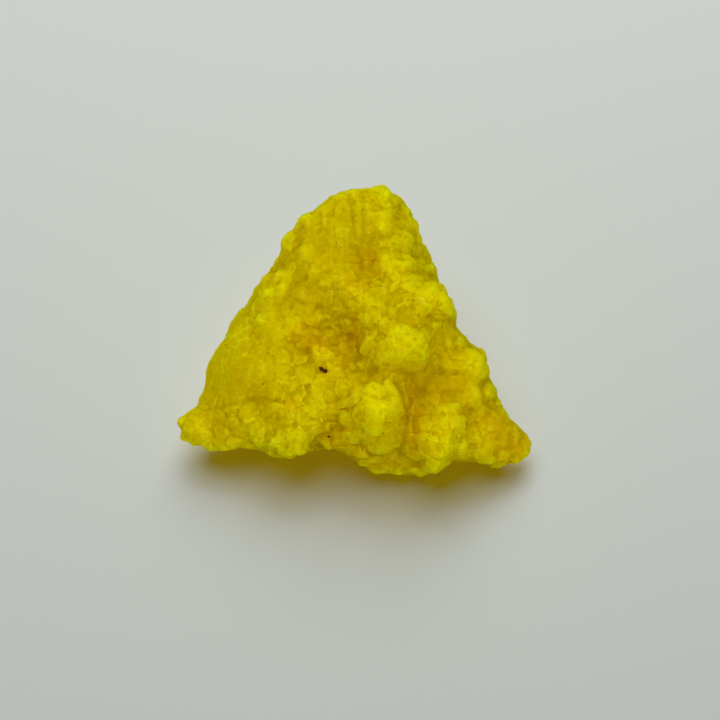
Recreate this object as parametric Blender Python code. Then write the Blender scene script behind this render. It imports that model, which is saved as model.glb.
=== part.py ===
"""Native sulfur: one mass of intergrown crystals, broken from its rock and standing on the break.

Units are metres with +Z up. The mass is shaped face up, in millimetres along three directions of its own:
across (+X), up the face towards the apex, and out of the face. It is then leaned back onto its foot and cut
flat there. The origin is the middle of the foot's level, under the centre of the bounding box.
"""

import math
import random

import bmesh
import bpy
from mathutils import Euler, Matrix, Vector, noise
from mathutils.bvhtree import BVHTree

MM = 0.001

# Driving dimensions, in millimetres and degrees.
FACE_LEAN = 35.0  # how far the face's plane leans from lying flat
FOOT_DEPTH = 18.0  # from the face's plane down to the ground, under the face's middle
CORE = (0.5, -5.0)  # across and up: the middle that the rim runs around
FACE_LEVEL = 3.0  # how far the face stands out of its plane
BACK_DEPTH = 19.0  # how far the back reaches behind the rim
RIM_INSET = 0.35  # how far the crystals at the rim stand past the bulk
ROUGHNESS = 0.5  # height of the bulk's own unevenness
BULK_FACETS = 800  # triangles that the bulk is broken into before the crystals grow on it
SPOKES, RINGS = 176, 36  # points around the bulk, and from its middle to its rim
SEED = 16

# The rim, where the face turns over into the back: across, up and out, counter-clockwise from the tail.
RIM = (
    (27.5, -18.1, -4.5), (26.9, -15.5, -5.0), (24.7, -14.1, -5.5), (23.3, -12.5, -6.0), (23.6, -11.7, -6.0),
    (22.8, -9.8, -6.0), (21.6, -8.3, -6.0), (21.2, -7.3, -6.0), (21.4, -6.1, -6.0), (20.6, -3.9, -6.0),
    (19.1, -2.7, -6.0), (16.9, -0.3, -6.0), (15.6, 0.8, -5.5), (16.2, 2.0, -5.0), (15.6, 3.8, -5.0),
    (15.0, 4.8, -5.5), (14.2, 5.5, -6.0), (13.3, 8.0, -7.0), (13.3, 9.1, -7.0), (12.0, 12.2, -7.5),
    (10.5, 14.4, -8.0), (9.8, 15.8, -8.0), (9.7, 18.0, -8.0), (8.6, 18.6, -8.0), (8.1, 20.2, -8.0),
    (7.0, 21.6, -8.0), (5.3, 22.0, -8.0), (4.5, 22.5, -8.0), (2.8, 22.8, -8.0), (2.0, 22.2, -8.0),
    (-1.6, 21.9, -8.5), (-4.8, 20.9, -8.5), (-5.8, 20.0, -8.5), (-6.6, 19.1, -9.0), (-8.8, 18.4, -9.0),
    (-9.5, 17.5, -9.0), (-10.2, 16.2, -9.0), (-11.6, 15.2, -9.0), (-12.0, 13.4, -9.0), (-12.3, 11.9, -9.0),
    (-13.0, 10.3, -8.5), (-14.5, 9.2, -8.5), (-16.1, 6.7, -8.0), (-17.5, 4.1, -7.5), (-19.4, 2.5, -7.0),
    (-20.2, 1.4, -7.0), (-20.6, -0.5, -7.0), (-21.1, -1.4, -6.5), (-22.0, -1.7, -6.5), (-22.3, -2.7, -6.5),
    (-23.1, -3.6, -6.0), (-24.1, -5.6, -6.0), (-24.2, -7.8, -6.0), (-24.7, -11.1, -5.0), (-25.6, -11.6, -5.0),
    (-25.8, -12.8, -4.5), (-27.3, -14.2, -4.0), (-27.7, -15.6, -3.5), (-27.7, -16.9, -3.0), (-26.7, -17.7, -3.0),
    (-23.8, -18.6, -3.0), (-22.2, -18.9, -3.0), (-19.8, -18.9, -3.0), (-18.8, -18.6, -3.5), (-17.0, -18.6, -3.5),
    (-13.9, -19.4, -3.0), (-11.9, -20.2, -2.5), (-8.8, -20.0, -2.5), (-7.7, -19.4, -3.5), (-6.9, -18.6, -4.5),
    (-5.2, -18.8, -4.5), (-1.9, -19.1, -4.5), (0.3, -20.6, -4.5), (2.2, -22.0, -5.0), (3.3, -22.8, -5.0),
    (4.8, -23.0, -5.0), (5.6, -22.5, -5.0), (7.3, -22.7, -5.0), (10.2, -23.0, -5.0), (12.5, -22.7, -5.0),
    (13.9, -21.9, -5.0), (15.0, -20.9, -5.0), (17.3, -20.6, -5.0), (19.5, -21.4, -5.0), (22.2, -21.7, -4.5),
    (23.3, -22.0, -4.5), (25.0, -21.4, -4.5), (27.0, -20.8, -4.5),
)

# Broad swells and hollows of the face: across, up, radius and height.
RELIEF = (
    (-18.0, -4.0, 8.0, 1.5),  # left flank
    (-9.0, 13.0, 6.0, 1.0),  # upper left swell
    (-3.0, -1.0, 4.5, -3.0),  # middle hollow
    (-0.5, -3.5, 3.0, -1.5),  # its deepest end
    (-7.5, -3.0, 2.2, -1.2),  # its left end
    (2.3, 10.5, 1.8, -2.2),  # upper pit
    (13.0, -9.0, 3.4, -3.2),  # right valley
    (8.9, -14.5, 1.8, -3.5),  # cleft beside the front boss
    (-4.0, -17.5, 2.8, -2.5),  # over the arch
    (-21.0, -12.0, 2.2, -1.0),  # crease of the left flank
    (-14.5, -10.8, 2.2, -1.0),
    (4.0, 18.0, 2.5, 1.5),  # top column
)

# Bosses that stand steeply from it: across, up, half length, half width, turn and rise.
MOUNDS = (
    (3.4, -13.0, 5.4, 4.8, 70, 2.4),  # front boss
    (7.2, -2.8, 5.6, 4.0, 10, 2.6),  # middle boss
    (11.6, 4.0, 4.4, 3.2, -20, 2.4),  # shoulder boss
    (2.0, 4.0, 4.2, 2.6, -25, 1.8),  # middle lobes
    (6.6, 8.8, 4.2, 2.4, 0, 1.8),  # upper lumps
    (13.4, -16.4, 5.0, 4.0, -35, 2.8),  # right front bosses
    (-9.0, -15.6, 4.4, 3.6, 20, 2.2),  # left front boss
    (17.4, -6.0, 4.0, 3.0, -50, 1.6),  # right slope
    (23.6, -17.4, 3.6, 3.4, 0, 1.6),  # tail
    (-4.2, -4.6, 3.2, 1.8, -10, 1.4),  # little crystals in the hollow
    (6.6, 17.8, 2.2, 4.6, 0, 1.2),  # top prism
)

# The crystals that can be told apart, boss by boss. Each is: across, up, reach, stand, turn, lean, heading.
# Reach is from a crystal's middle to its broad faces, and stand is its middle's height over the bulk. The
# crystal is turned about its long axis, and the axis leans from straight out of the face towards a heading.
STRETCHES = {"top": 1.5, "streaks of the top": 2.4}  # the bosses whose crystals are drawn out, and how far
BOSSES = {
    "front boss": (
        (3.6, -12.4, 3.2, 0.6, 20, 35, 80),
        (1.0, -15.0, 2.1, 0.6, 50, 50, 200),
        (4.0, -16.4, 2.2, 0.5, 0, 60, 260),
        (6.4, -15.4, 1.9, 0.3, 70, 55, 300),
        (6.2, -10.8, 1.8, 0.6, 10, 40, 20),
        (1.0, -11.0, 1.7, 0.8, 35, 30, 150),
    ),
    "foot of the front boss": (
        (4.6, -21.2, 1.7, 0.3, 15, 70, 265),
        (7.6, -21.4, 1.5, 0.3, 40, 70, 275),
        (11.0, -21.6, 1.5, 0.2, 60, 70, 280),
        (1.9, -19.8, 1.3, 0.3, 25, 65, 240),
    ),
    "middle boss": (
        (7.7, -2.8, 2.7, 1.2, 30, 30, 60),
        (2.7, -1.3, 1.7, 0.9, 5, 35, 170),
        (9.6, -4.4, 1.7, 1.0, 60, 45, 320),
        (5.0, -4.4, 1.6, 0.9, 45, 40, 240),
        (6.4, -0.6, 1.4, 1.2, 15, 35, 90),
        (9.9, -1.2, 1.3, 1.1, 75, 40, 10),
    ),
    "shoulder boss": (
        (11.6, 4.6, 2.5, 1.1, 25, 40, 30),
        (14.1, 2.9, 1.7, 0.3, 55, 55, 350),
        (9.0, 5.7, 1.6, 0.8, 10, 35, 120),
        (9.6, 2.9, 1.4, 0.7, 80, 45, 250),
        (12.9, 1.3, 1.3, 0.3, 35, 55, 300),
    ),
    "middle lobes": (
        (0.2, 4.8, 1.9, 0.8, 40, 30, 140),
        (2.8, 3.0, 2.1, 0.9, 65, 40, 260),
        (5.2, 5.9, 1.6, 0.7, 20, 30, 70),
        (5.6, 3.0, 1.3, 0.8, 0, 35, 330),
        (-1.6, 3.2, 1.0, 0.6, 30, 40, 200),
    ),
    "upper lumps": (
        (5.0, 10.0, 1.8, 0.9, 35, 30, 100),
        (7.8, 9.6, 1.5, 0.8, 70, 35, 40),
        (6.4, 7.7, 1.7, 0.8, 15, 35, 300),
        (11.6, 9.9, 1.1, 0.4, 50, 50, 20),
        (10.4, 7.2, 1.3, 0.7, 25, 45, 330),
        (12.2, 6.9, 0.9, 0.4, 60, 45, 350),
    ),
    "right front bosses": (
        (12.6, -16.8, 2.9, 1.2, 45, 40, 280),
        (13.4, -12.2, 2.1, 0.9, 10, 30, 90),
        (12.3, -20.1, 1.8, 0.4, 30, 65, 270),
        (16.2, -18.3, 1.4, 0.8, 65, 50, 310),
        (15.4, -14.8, 1.6, 0.9, 20, 40, 20),
        (9.9, -18.4, 1.5, 0.7, 55, 55, 230),
        (18.4, -16.4, 1.3, 0.6, 5, 45, 340),
    ),
    "left front boss": (
        (-8.9, -16.3, 2.3, 0.9, 35, 50, 280),
        (-6.5, -11.2, 1.9, 0.8, 60, 35, 330),
        (-11.5, -12.4, 1.5, 0.8, 15, 30, 120),
        (-15.2, -14.9, 1.6, 0.7, 50, 45, 220),
        (-12.4, -16.6, 1.5, 0.8, 80, 55, 260),
        (-5.9, -14.3, 1.3, 0.8, 20, 45, 310),
        (-9.2, -13.0, 1.1, 0.9, 45, 35, 60),
    ),
    "small crystals in the hollow": (
        (-5.3, -3.6, 1.3, 0.9, 25, 30, 200),
        (-3.2, -5.3, 1.2, 0.8, 60, 45, 300),
        (-1.3, -3.7, 0.9, 0.7, 5, 35, 60),
        (0.5, -6.6, 1.0, 0.7, 40, 40, 270),
        (-7.6, -5.2, 1.0, 0.6, 70, 35, 180),
        (-3.0, 0.6, 0.9, 0.6, 15, 30, 110),
        (-5.8, -8.0, 1.2, 0.7, 50, 40, 230),
        (-1.9, -8.6, 1.1, 0.7, 30, 35, 20),
    ),
    "tail": (
        (23.9, -17.3, 2.9, 0.2, 15, 45, 300),
        (23.4, -20.4, 1.3, 0.0, 55, 60, 270),
        (21.0, -14.4, 1.6, 0.6, 35, 40, 60),
        (20.4, -18.6, 1.8, 0.6, 0, 50, 250),
        (25.9, -18.8, 1.3, 0.0, 70, 60, 340),
    ),
    "right slope": (
        (17.4, -5.4, 2.3, 0.5, 20, 45, 20),
        (14.0, -1.6, 1.8, 0.4, 50, 45, 30),
        (21.0, -10.2, 1.7, 0.0, 75, 55, 0),
        (17.6, -10.2, 1.9, 0.4, 10, 35, 330),
        (19.8, -6.6, 1.2, 0.2, 40, 55, 10),
        (14.6, -5.4, 1.4, 0.5, 65, 40, 280),
    ),
    "top": (
        (4.6, 20.2, 1.6, 0.6, 45, 78, 92),
        (4.4, 15.4, 1.3, 0.8, 0, 84, 268),
        (7.6, 18.4, 1.5, 0.1, 10, 66, 70),
        (8.8, 15.0, 1.3, 0.1, 60, 72, 80),
        (7.2, 12.8, 1.4, 0.4, 25, 68, 80),
    ),
    "streaks of the top": (
        (-0.2, 19.0, 1.1, 0.5, 35, 84, 90),
        (1.8, 17.0, 0.9, 0.4, 20, 86, 92),
        (-2.4, 18.0, 1.2, 0.5, 65, 84, 96),
        (-4.8, 16.6, 1.2, 0.5, 10, 82, 100),
        (0.4, 14.0, 0.9, 0.4, 50, 84, 91),
        (-2.2, 13.2, 1.0, 0.4, 15, 84, 97),
        (-6.6, 14.2, 1.1, 0.5, 40, 80, 106),
    ),
    "left shoulder": (
        (-9.8, 13.6, 1.5, 0.5, 20, 45, 150),
        (-7.6, 16.0, 1.6, 0.3, 55, 50, 120),
        (-11.0, 10.8, 1.3, 0.3, 75, 50, 170),
        (-7.2, 11.4, 1.5, 0.5, 10, 35, 140),
        (-10.9, 7.2, 1.7, 0.4, 40, 40, 160),
        (-6.3, 8.4, 1.6, 0.5, 65, 35, 90),
        (-2.4, 7.2, 1.4, 0.5, 30, 30, 60),
        (-7.5, 4.6, 1.4, 0.5, 5, 35, 210),
        (-13.4, 5.0, 1.4, 0.2, 50, 45, 180),
        (-3.6, 10.9, 1.3, 0.4, 45, 35, 100),
    ),
    "left flank": (
        (-12.6, 0.4, 2.7, -1.1, 20, 30, 150),
        (-17.4, -3.0, 2.9, -1.6, 50, 40, 170),
        (-12.6, -5.4, 2.7, -1.4, 75, 25, 230),
        (-18.6, -8.6, 2.5, -1.2, 5, 35, 190),
        (-21.0, -2.4, 0.9, 0.1, 30, 60, 160),
        (-9.6, -8.2, 1.6, -0.3, 40, 35, 260),
        (-8.9, 0.2, 1.4, 0.0, 10, 30, 120),
    ),
    "left tip": (
        (-24.2, -15.2, 2.0, -0.2, 35, 60, 190),
        (-19.4, -16.4, 1.8, 0.0, 60, 55, 240),
        (-22.0, -17.0, 1.5, 0.0, 15, 60, 230),
        (-16.6, -17.2, 1.2, 0.3, 45, 60, 250),
    ),
}

# Patches where the crystals stay low: across, up, radius, least and most reach, and how deep they sit.
SMOOTH = (
    (-18.0, -5.0, 8.5, 1.8, 3.0, 0.82),  # left flank
    (-4.0, 17.5, 6.5, 1.4, 2.2, 0.75),  # streaked top
    (13.5, -8.5, 4.0, 1.2, 2.0, 0.70),  # right valley
)
COVER = (1.0, 2.2)  # reach of the crystals that fill the rest of the face
BACK_COVER = (2.0, 3.6)
SPACING = 0.86  # share of two neighbours' reaches that keeps their middles apart
COVER_TRIES = 1400
BACK_TRIES = 500

# A crystal's face normals, for sulfur's axes in the ratio 0.81 : 1 : 1.90, and how far out each form lies.
FORMS = (
    ((1.23, 1.00, 0.53), 1.00),  # the steep dipyramid
    ((0.00, 0.00, 1.00), 1.28),  # the flat ends
    ((1.23, 1.00, 1.58), 1.20),  # the blunt dipyramid
    ((0.00, 1.00, 0.53), 1.34),  # the dome over its sides
)


def rim_at(angle):
    """The rim's point in one direction from the core."""
    spokes = [(math.atan2(y - CORE[1], x - CORE[0]), Vector((x, y, out))) for x, y, out in RIM]
    for (a0, p0), (a1, p1) in zip(spokes, spokes[1:] + spokes[:1]):
        turn = (a1 - a0) % math.tau
        share = ((angle - a0) % math.tau) / turn
        if share <= 1:
            return p0.lerp(p1, share)
    raise ValueError(angle)


def even_rim_at(angle):
    """The rim with its notches and points evened out."""
    around = [rim_at(angle + math.radians(step)) for step in range(-24, 25, 4)]
    return sum(around, Vector()) / len(around)


def rise_at(across, up):
    """Height of the swells, hollows and bosses at a point of the face."""
    rise = 0
    for x, y, radius, height in RELIEF:
        rise += height * math.exp(-((across - x) ** 2 + (up - y) ** 2) / radius**2)
    for x, y, length, width, turn, height in MOUNDS:
        along = Matrix.Rotation(math.radians(-turn), 2) @ Vector((across - x, up - y))
        rise += height * math.exp(-(((along.x / length) ** 2 + (along.y / width) ** 2) ** 2))
    return rise


def bulk_point(angle, share, front, spokes):
    """A point of the bulk: its direction from the core, its share of the way to the rim, and its side."""
    true_rim, even_rim = spokes[angle]
    rim = even_rim.lerp(true_rim, share**6)
    flat = Vector((rim.x - CORE[0], rim.y - CORE[1]))
    flat *= share * (1 - RIM_INSET / flat.length)
    x, y = CORE[0] + flat.x, CORE[1] + flat.y
    if front:
        out = rim.z + (FACE_LEVEL - rim.z) * (1 - share**3) ** 0.6 + rise_at(x, y) * (1 - share**6)
    else:
        out = rim.z - BACK_DEPTH * (1 - share**1.8)
    return Vector((x, y, out))


def bulk_of():
    """The bulk of the mass as a mesh, face up, in millimetres."""
    angles = [math.tau * step / SPOKES - math.pi for step in range(SPOKES)]
    spokes = {angle: (rim_at(angle), even_rim_at(angle)) for angle in angles}
    bm = bmesh.new()
    rings = []
    for step in range(1, 2 * RINGS):
        slope = math.pi * step / (2 * RINGS)
        share, front = min(1.0, math.sin(slope)), step <= RINGS
        rings.append([bm.verts.new(bulk_point(angle, share, front, spokes)) for angle in angles])
    for outer, inner in zip(rings[1:], rings):
        for here in range(SPOKES):
            after = (here + 1) % SPOKES
            bm.faces.new((inner[here], outer[here], outer[after], inner[after]))
    for ring, front in ((rings[0], True), (rings[-1], False)):
        pole = bm.verts.new(bulk_point(angles[0], 0.0, front, spokes))
        for here in range(SPOKES):
            ends = (ring[here], ring[(here + 1) % SPOKES])
            bm.faces.new((pole, *ends) if front else (pole, *reversed(ends)))
    bm.normal_update()
    for vert, normal in [(vert, vert.normal.copy()) for vert in bm.verts]:
        swell = noise.fractal(vert.co / 5.0, 0.8, 2.2, 3)
        step = abs(noise.noise(vert.co / 3.0 + Vector((7, 3, 1)))) - 0.2
        vert.co += normal * ROUGHNESS * (1.2 * swell + 1.6 * step)
    bm.normal_update()
    return bm


def crystal_of(rng, reach):
    """One blocky dipyramid, cut from a cube by its faces."""
    bm = bmesh.new()
    bmesh.ops.create_cube(bm, size=8 * reach)
    forms = 4 if reach > 1.9 else 3 if reach > 1.3 else 2
    for normal, distance in FORMS[:forms]:
        for sides in sorted({(a, b, c) for a in (1, -1) for b in (1, -1) for c in (1, -1)}):
            if any(side < 0 and axis == 0 for side, axis in zip(sides, normal)):
                continue  # the same face again
            face = Vector(side * axis for side, axis in zip(sides, normal)).normalized()
            cut = bmesh.ops.bisect_plane(
                bm,
                geom=bm.verts[:] + bm.edges[:] + bm.faces[:],
                plane_co=face * reach * distance * rng.uniform(0.84, 1.14),
                plane_no=face,
                clear_outer=True,
            )
            rim = [edge for edge in cut["geom_cut"] if isinstance(edge, bmesh.types.BMEdge)]
            if rim:
                bmesh.ops.edgeloop_fill(bm, edges=rim)
    return bm


def within_rim(bm, spokes):
    """Moves a crystal in towards the core until it is inside the rim."""
    core = Vector((*CORE, 0))
    past = 0
    for vert in bm.verts:
        flat = (vert.co - core).xy
        angle = round(math.degrees(math.atan2(flat.y, flat.x)))
        past = max(past, flat.length - spokes[angle % 360])
    middle = sum((vert.co for vert in bm.verts), Vector()) / len(bm.verts)
    bmesh.ops.translate(bm, vec=Vector((*(core - middle).xy.normalized(), 0)) * past, verts=bm.verts)


def placed_crystals(tree):
    """The crystals that can be told apart, as (name, middle, reach, turn)."""
    for boss, crystals in BOSSES.items():
        for across, up, reach, stand, spun, lean, heading in crystals:
            seated = tree.ray_cast(Vector((across, up, 40)), Vector((0, 0, -1)))[0]
            if seated is None:
                raise ValueError(f"{boss} has a crystal past the rim, at {across}, {up}")
            axis = Euler((0, math.radians(lean), math.radians(heading))).to_quaternion()
            spin = Euler((0, 0, math.radians(spun))).to_quaternion()
            turn = (axis @ spin).to_matrix() @ Matrix.Diagonal((1, 1, STRETCHES.get(boss, 1)))
            yield boss, seated + Vector((0, 0, stand - 0.5 * reach)), reach, turn


def covering_crystals(bulk, rng, taken):
    """Crystals that fill the surface between those already there."""
    faces = bulk.faces[:]
    areas = [face.calc_area() for face in faces]
    for number, face in enumerate(rng.choices(faces, areas, k=COVER_TRIES + BACK_TRIES)):
        spot, normal = face.calc_center_median(), face.normal
        on_face = normal.z > 0.15
        if on_face != (number < COVER_TRIES):
            continue
        (least, most), sunk = (COVER, 0.5) if on_face else (BACK_COVER, 0.6)
        for across, up, radius, low, high, deep in SMOOTH:
            if on_face and math.hypot(spot.x - across, spot.y - up) < radius:
                least, most, sunk = low, high, deep
        reach = rng.uniform(least, most)
        lean = Euler((rng.uniform(0, 0.8), 0, rng.uniform(0, math.tau))).to_quaternion()
        turn = normal.to_track_quat("Z", "Y") @ lean @ Euler((0, 0, rng.uniform(0, math.tau))).to_quaternion()
        if all((spot - other).length > SPACING * (reach + size) for other, size in taken):
            taken.append((spot, reach))
            yield "cover", spot - normal * sunk * reach, reach, turn.to_matrix()


def keep_outer_shell(obj):
    """Applies an object's modifiers and drops the pockets left closed in between crystals."""
    graph = bpy.context.evaluated_depsgraph_get()
    grown_mesh = bpy.data.meshes.new_from_object(obj.evaluated_get(graph))
    obj.modifiers.clear()
    bm = bmesh.new()
    bm.from_mesh(grown_mesh)
    left, shells = set(bm.verts), []
    while left:
        shell, front = set(), [left.pop()]
        while front:
            vert = front.pop()
            shell.add(vert)
            near = {edge.other_vert(vert) for edge in vert.link_edges} & left
            left -= near
            front += near
        shells.append(shell)
    inner = [vert for shell in shells if len(shell) < max(map(len, shells)) for vert in shell]
    bmesh.ops.delete(bm, geom=inner, context="VERTS")
    bm.to_mesh(obj.data)
    bm.free()
    bpy.data.meshes.remove(grown_mesh)


def main():
    for obj in list(bpy.data.objects):
        bpy.data.objects.remove(obj)
    rng = random.Random(SEED)
    bulk = bulk_of()
    tree = BVHTree.FromBMesh(bulk)
    placed = list(placed_crystals(tree))
    taken = [(middle, reach) for _, middle, reach, _ in placed]
    spokes = [
        (rim_at(math.radians(angle if angle <= 180 else angle - 360)).xy - Vector(CORE)).length for angle in range(360)
    ]
    shapes = [("bulk", bulk)]
    for name, middle, reach, turn in [*placed, *covering_crystals(bulk, rng, taken)]:
        crystal = crystal_of(rng, reach)
        crystal.transform(Matrix.Translation(middle) @ turn.to_4x4())
        within_rim(crystal, spokes)
        shapes.append((name, crystal))
    lean = Matrix.Rotation(math.radians(FACE_LEAN), 4, "X")
    stand = Matrix.Translation((0, 0, FOOT_DEPTH)) @ lean
    for _, shape in shapes:
        shape.transform(stand)
    above = [vert.co for _, shape in shapes for vert in shape.verts if vert.co.z > 0]
    centre = [(min(co[axis] for co in above) + max(co[axis] for co in above)) / 2 for axis in (0, 1)]
    place = Matrix.Scale(MM, 4) @ Matrix.Translation((-centre[0], -centre[1], 0))

    scene = bpy.context.scene.collection
    kept = bpy.data.collections.new("native sulfur")
    grown = bpy.data.collections.new("crystals")
    ground = bpy.data.collections.new("cutters")
    for collection in (kept, grown, ground):
        scene.children.link(collection)
    made = []
    for name, shape in shapes:
        shape.transform(place)
        bmesh.ops.recalc_face_normals(shape, faces=shape.faces)
        mesh = bpy.data.meshes.new(name)
        shape.to_mesh(mesh)
        shape.free()
        made.append(bpy.data.objects.new(name, mesh))
    mass, crystals = made[0], made[1:]
    mass.name = mass.data.name = "sulfur_crystal"
    kept.objects.link(mass)
    for crystal in crystals:
        grown.objects.link(crystal)
        crystal.hide_render = True
        crystal.display_type = "WIRE"

    break_up = mass.modifiers.new("break into facets", "DECIMATE")
    break_up.ratio = BULK_FACETS / sum(len(face.vertices) - 2 for face in mass.data.polygons)
    join = mass.modifiers.new("grow the crystals", "BOOLEAN")
    join.operation = "UNION"
    join.solver = "EXACT"
    join.operand_type = "COLLECTION"
    join.collection = grown
    keep_outer_shell(mass)

    bm = bmesh.new()
    bmesh.ops.create_cube(bm, size=0.1)
    bmesh.ops.translate(bm, vec=(0, 0, -0.05), verts=bm.verts)
    mesh = bpy.data.meshes.new("ground")
    bm.to_mesh(mesh)
    bm.free()
    block = bpy.data.objects.new("ground", mesh)
    ground.objects.link(block)
    block.hide_render = True
    block.display_type = "WIRE"
    cut = mass.modifiers.new("cut the foot", "BOOLEAN")
    cut.operation = "DIFFERENCE"
    cut.solver = "EXACT"
    cut.object = block

    material = bpy.data.materials.new("native sulfur")
    material.use_nodes = True
    surface = material.node_tree.nodes["Principled BSDF"]
    surface.inputs["Base Color"].default_value = (0.56, 0.47, 0.02, 1)
    surface.inputs["Roughness"].default_value = 0.4
    surface.inputs["IOR"].default_value = 2.0
    mass.data.materials.append(material)


main()
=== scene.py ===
"""A specimen of native sulfur on a pale table: the grown crust of the mass, its finish, and the stage."""

import math

import bmesh
import bpy
import numpy as np
from mathutils import Euler, Matrix, Vector
from mathutils.bvhtree import BVHTree


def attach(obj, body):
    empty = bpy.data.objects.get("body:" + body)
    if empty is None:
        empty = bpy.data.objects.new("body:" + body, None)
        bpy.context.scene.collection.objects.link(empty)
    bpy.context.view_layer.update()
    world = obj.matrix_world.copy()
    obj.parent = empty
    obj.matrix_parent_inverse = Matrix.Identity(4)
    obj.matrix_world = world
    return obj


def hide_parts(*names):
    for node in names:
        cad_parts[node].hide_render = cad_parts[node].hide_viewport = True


bl_info = {
    "name": "Native sulfur",
    "version": (1, 0, 0),
    "blender": (4, 5, 0),
    "location": "3D View > Sidebar > Sulfur",
    "description": "Grows the crust, the small crystals and the finish of a native sulfur specimen",
    "category": "Object",
}

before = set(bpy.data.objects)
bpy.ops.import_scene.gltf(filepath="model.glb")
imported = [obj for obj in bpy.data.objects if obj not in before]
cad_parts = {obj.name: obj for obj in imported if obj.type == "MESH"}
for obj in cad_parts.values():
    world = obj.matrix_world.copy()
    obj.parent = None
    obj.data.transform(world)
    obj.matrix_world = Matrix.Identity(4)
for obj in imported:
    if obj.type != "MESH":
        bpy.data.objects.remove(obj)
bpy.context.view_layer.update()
NODE = "sulfur_crystal"
MM = 0.001

# The face's own frame, in which its regions are placed: across, up and out, in millimetres. It leans back
# from lying flat, and its origin stands over the foot.
FACE_LEAN = 35.0
FACE_ORIGIN = (0.07, -2.31, 18.0)
FACE_TURN = Matrix.Rotation(math.radians(FACE_LEAN), 3, "X")
FACE_UP = FACE_TURN @ Vector((0, 1, 0))
FACE_OUT = FACE_TURN @ Vector((0, 0, 1))
# What lies this far behind the face's origin is the back of the mass, and past the fade it is the face.
FACE_BACK = -12.0
FACE_FADE = 8.0
# How far out of the face the rays start that look for the surface.
RAY_START = 40.0

# Regions of the face: across, up, radius across, radius up, and how strong the region is where it isn't
# full. The smooth grounds carry no crust, and on the worn ones the facets are only lower.
SMOOTH_GROUNDS = (
    (-18.5, -5.0, 9.0, 8.0),  # left flank
    (13.0, -8.5, 4.5, 3.2),  # right valley
    (-3.0, 16.0, 6.5, 6.5),  # streaked top
)
WORN_GROUNDS = (
    (-8.0, 9.0, 5.5, 6.5),  # upper left
    (18.0, -6.5, 3.5, 5.0),  # right edge
    (-1.6, 16.5, 5.5, 4.5),  # streaked top
)
STREAKED_GROUNDS = ((-2.2, 16.5, 5.2, 6.5), (1.2, 14.0, 2.2, 6.0))
# Hollows that are partly filled.
FILLED_GROUNDS = (
    (-1.2, -1.6, 5.0, 5.2),  # middle hollow
    (0.2, 10.2, 3.2, 3.2),  # upper pit
    (8.8, -13.5, 2.4, 5.0, 0.15),  # cleft
    (-2.0, -14.0, 3.0, 3.6),  # left of the front boss
    (-0.4, 1.8, 4.0, 3.6),  # over the middle hollow
    (9.0, -7.4, 6.0, 2.6),  # between the bosses
)
# Stained grounds, and painted orange shade in the hollows, the cleft and the arch.
STAINED_AND_SHADED_GROUNDS = (
    (24.4, -17.4, 4.4, 5.0, 0.7),  # tail
    (1.6, 10.6, 2.6, 3.0, 0.9),  # upper pit
    (-0.8, -1.6, 2.2, 4.8, 0.9),  # middle hollow
    (-6.8, -1.2, 3.6, 3.8, 0.8),
    (-6.7, 4.9, 4.6, 4.4, 0.35),
    (3.4, -6.6, 6.0, 1.6, 0.3),  # between the bosses
    (13.0, -9.0, 5.0, 3.0, 0.65),  # right valley
    (8.9, -12.8, 1.8, 6.0, 1.0),  # cleft
    (-3.0, -17.6, 3.4, 4.6, 0.6),  # over the arch
    (-0.6, -19.4, 3.6, 1.4, 0.8),  # rim of the arch
    (4.0, -20.6, 3.6, 2.0, 0.4),
    (-3.2, -6.2, 3.0, 2.6, 0.5),  # under the middle hollow
    (-0.6, 6.8, 2.2, 2.6, 0.6),  # over the middle hollow
    (2.6, -1.6, 2.0, 2.6, 0.3),  # left of the middle boss
    (-9.8, -11.6, 1.6, 1.6, 0.5),
    (15.2, -4.1, 1.8, 1.8, 0.35),
    (-16.0, -8.6, 5.0, 3.4, 0.2),  # left flank
    (-19.2, -16.4, 2.8, 2.4, 0.2),  # left foot
    (21.2, -14.2, 2.4, 2.0, 0.8),  # over the tail
    (-4.6, 12.0, 3.2, 2.4, 0.35),  # left of the upper pit
)
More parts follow.
